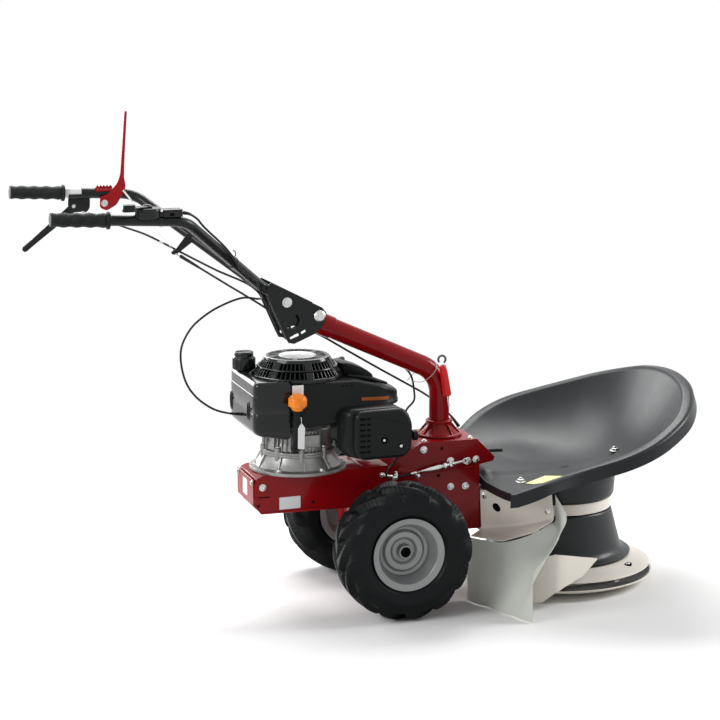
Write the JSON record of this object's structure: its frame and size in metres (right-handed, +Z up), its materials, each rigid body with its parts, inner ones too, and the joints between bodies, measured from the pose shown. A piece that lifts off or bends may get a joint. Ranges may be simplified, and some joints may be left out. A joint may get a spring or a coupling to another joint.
{
  "type": "rotary lawn mower",
  "caption": "Two-wheel walk-behind tractor with a petrol engine, swivelling column and handlebars, carrying a single-drum rotary mower with a dished deck, skid, skirt and rubber flap.",
  "frame": {"origin": "on the ground, midway along and across the machine", "axes": "+X forwards to the mower, +Y to the machine's left, +Z up"},
  "size_m": [1.6598, 0.7976, 1.193],
  "materials": {
    "red_enamel": "glossy red paint",
    "black_enamel": "satin black paint",
    "black_moulding": "grained black moulding",
    "orange_moulding": "glossy orange moulding",
    "tyre_rubber": "matte black rubber",
    "grey_enamel": "satin grey paint",
    "cast_alloy": "as cast",
    "bright_steel": "zinc plated",
    "cast_iron": "as cast",
    "cream_enamel": "satin cream paint",
    "deck_moulding": "satin dark grey moulding",
    "drum_enamel": "satin dark grey paint",
    "flap_rubber": "smooth grey rubber sheet",
    "grip_rubber": "ribbed black rubber",
    "cable_sheath": "black sheath",
    "belt_rubber": "black belt"
  },
  "bodies": {
    "chassis": {"chassis_frame": "red_enamel", "rear_cover": "red_enamel", "gearbox_housing": "cast_iron", "engine_base": "cast_alloy", "crankcase": "cast_alloy", "cylinder": "cast_alloy", "drive_belt": "belt_rubber", "engine_cowl": "black_moulding", "starter_housing": "black_moulding", "fuel_tank": "black_moulding", "oil_filler_tube": "black_moulding", "air_filter_box": "black_moulding", "carburettor": "cast_alloy", "muffler": "cast_iron", "column_base": "red_enamel", "mower_mount": "red_enamel", "mower_deck": "deck_moulding", "drum_housing": "drum_enamel", "skirt_plate": "cream_enamel", "flap": "flap_rubber", "swath_plate": "cream_enamel"},
    "wheel_right": {"tyre_right": "tyre_rubber", "rim_right": "grey_enamel", "axle_right": "bright_steel"},
    "wheel_left": {"tyre_left": "tyre_rubber", "rim_left": "grey_enamel", "axle_left": "bright_steel"},
    "differential": {"worm_wheel": "bright_steel"},
    "gear_input": {"worm_shaft": "bright_steel", "driven_pulley": "cast_iron"},
    "crank": {"crankshaft": "bright_steel", "drive_pulley": "cast_iron"},
    "drum": {"drum_shaft": "bright_steel", "drum_cone": "drum_enamel", "cutting_disc": "cream_enamel"},
    "skid": {"skid_dish": "cream_enamel"},
    "blade_front": {"knife_front": "bright_steel"},
    "blade_rear": {"knife_rear": "bright_steel"},
    "recoil_grip": {"starter_grip": "black_moulding"},
    "tank_cap": {"fuel_cap": "black_moulding"},
    "filler_cap": {"oil_cap": "orange_moulding"},
    "column": {"column_tube": "red_enamel", "throttle_cable": "cable_sheath", "clutch_cable": "cable_sheath", "drive_cable": "cable_sheath"},
    "steering_lock": {"lock_pin": "bright_steel"},
    "handlebar": {"bracket_plate_right": "black_enamel", "bracket_plate_left": "black_enamel", "handle_tube_right": "black_enamel", "handle_tube_left": "black_enamel", "grip_right": "grip_rubber", "grip_left": "grip_rubber", "handle_pivot_bolt": "bright_steel", "throttle_housing": "black_enamel", "clutch_bracket": "black_enamel", "lever_mount": "red_enamel"},
    "throttle": {"throttle_lever": "black_enamel"},
    "clutch": {"clutch_lever": "black_enamel"},
    "brake_lever": {"red_lever": "red_enamel"},
    "belt_tensioner": {"tension_rod": "bright_steel"}
  },
  "joints": [
    {"name": "wheel_right_spin", "type": "hinge", "parent": "chassis", "child": "wheel_right", "pos_m": [0.01285, 0, 0.165], "axis": [0, 1, 0], "continuous": true},
    {"name": "wheel_left_spin", "type": "hinge", "parent": "chassis", "child": "wheel_left", "pos_m": [0.01285, 0, 0.165], "axis": [0, 1, 0], "continuous": true},
    {"name": "crank_spin", "type": "hinge", "parent": "chassis", "child": "crank", "pos_m": [-0.18415, 0, 0.3], "axis": [0, 0, 1], "continuous": true},
    {"name": "input_spin", "type": "hinge", "parent": "chassis", "child": "gear_input", "pos_m": [0.06035, 0, 0.3], "axis": [0, 0, 1], "continuous": true},
    {"name": "differential_spin", "type": "hinge", "parent": "chassis", "child": "differential", "pos_m": [0.01285, 0, 0.165], "axis": [0, 1, 0], "continuous": true},
    {"name": "drum_spin", "type": "hinge", "parent": "chassis", "child": "drum", "pos_m": [0.50085, 0, 0], "axis": [0, 0, 1], "continuous": true},
    {"name": "skid_spin", "type": "hinge", "parent": "chassis", "child": "skid", "pos_m": [0.50085, 0, 0], "axis": [0, 0, 1], "continuous": true},
    {"name": "knife_front_swing", "type": "hinge", "parent": "drum", "child": "blade_front", "pos_m": [0.63048, -0.15231, 0.0345], "axis": [0, 0, 1], "continuous": true},
    {"name": "knife_rear_swing", "type": "hinge", "parent": "drum", "child": "blade_rear", "pos_m": [0.37123, 0.15231, 0.0345], "axis": [0, 0, 1], "continuous": true},
    {"name": "starter_pull", "type": "slide", "parent": "chassis", "child": "recoil_grip", "axis": [0.2501, 0.4501, 0.8572], "range_m": [0, 0.03], "stiffness_N_per_m": 20, "springref_m": -0.05},
    {"name": "fuel_cap_turn", "type": "hinge", "parent": "chassis", "child": "tank_cap", "pos_m": [-0.30065, 0.066, 0.617], "axis": [0, 0, 1], "range_deg": [0, 90]},
    {"name": "oil_cap_turn", "type": "hinge", "parent": "chassis", "child": "filler_cap", "pos_m": [-0.22415, -0.137, 0.5073], "axis": [-0.0136, -0.2039, 0.9789], "range_deg": [0, 90]},
    {"name": "column_swivel", "type": "hinge", "parent": "chassis", "child": "column", "pos_m": [0.18185, 0, 0.39], "axis": [0, 0, 1], "range_deg": [-30, 30], "deforming": ["throttle_cable", "clutch_cable", "drive_cable"]},
    {"name": "lock_pin_pull", "type": "slide", "parent": "column", "child": "steering_lock", "axis": [-0.158, 0, 0.9874], "range_m": [0, 0.015], "stiffness_N_per_m": 200, "springref_m": -0.005},
    {"name": "handle_height", "type": "hinge", "parent": "column", "child": "handlebar", "pos_m": [-0.14115, 0, 0.714], "axis": [0, 1, 0], "range_deg": [-12, 12]},
    {"name": "throttle_turn", "type": "hinge", "parent": "handlebar", "child": "throttle", "pos_m": [-0.61065, -0.2727, 1.0243], "axis": [0, 0, 1], "range_deg": [-10, 50]},
    {"name": "clutch_squeeze", "type": "hinge", "parent": "handlebar", "child": "clutch", "pos_m": [-0.67315, 0.2727, 0.958], "axis": [0, 1, 0], "range_deg": [0, 32], "stiffness_Nm_per_rad": 0.8, "springref_deg": -17.19},
    {"name": "brake_lever_swing", "type": "hinge", "parent": "handlebar", "child": "brake_lever", "pos_m": [-0.60015, 0.2525, 0.969], "axis": [0, 1, 0], "range_deg": [-60, 0]},
    {"name": "tensioner_pull", "type": "slide", "parent": "chassis", "child": "belt_tensioner", "axis": [-0.9866, 0, -0.163], "range_m": [0, 0.01]}
  ],
  "couplings": [
    {"joint": "input_spin", "follows": "crank_spin", "ratio": 0.54545},
    {"joint": "differential_spin", "follows": "crank_spin", "ratio": 0.030303},
    {"joint": "drum_spin", "follows": "crank_spin", "ratio": 0.54545},
    {"joint": "tensioner_pull", "follows": "clutch_squeeze", "m_per_rad": 0.0178}
  ]
}
